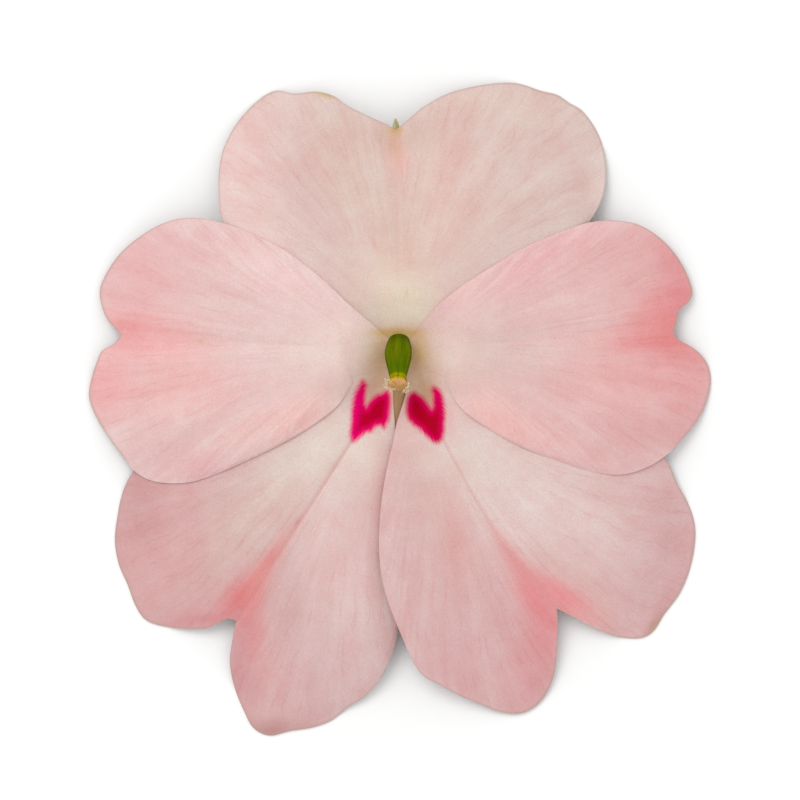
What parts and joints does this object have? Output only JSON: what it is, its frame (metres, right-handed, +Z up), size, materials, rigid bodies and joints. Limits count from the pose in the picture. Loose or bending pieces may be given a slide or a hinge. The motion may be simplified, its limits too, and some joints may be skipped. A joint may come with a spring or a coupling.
{
  "type": "impatiens bloom",
  "caption": "Picked impatiens bloom lying face up: notched flat petals round a green ovary, with a long curled spur and a cut stalk behind.",
  "frame": {"origin": "on the surface the bloom lies on, below the middle of its overall size seen from above", "axes": "+Z up, out of the bloom's face; +Y towards the upper petal's notch, the bloom's longest extent; +X to the right of the face"},
  "size_m": [0.0625, 0.0656, 0.0098],
  "materials": {
    "petal": "satin",
    "petal_tissue": "satin",
    "green_tissue": "satin",
    "stalk_tissue": "satin",
    "ovary_tissue": "satin",
    "stigma_tissue": "matte"
  },
  "bodies": {
    "root": {"upper_petal": "petal", "left_petal_pair": "petal", "right_petal_pair": "petal", "spurred_sepal": "petal_tissue", "left_sepal": "green_tissue", "right_sepal": "green_tissue", "flower_stalk": "stalk_tissue", "ovary": "ovary_tissue", "stigma": "stigma_tissue"}
  },
  "joints": []
}
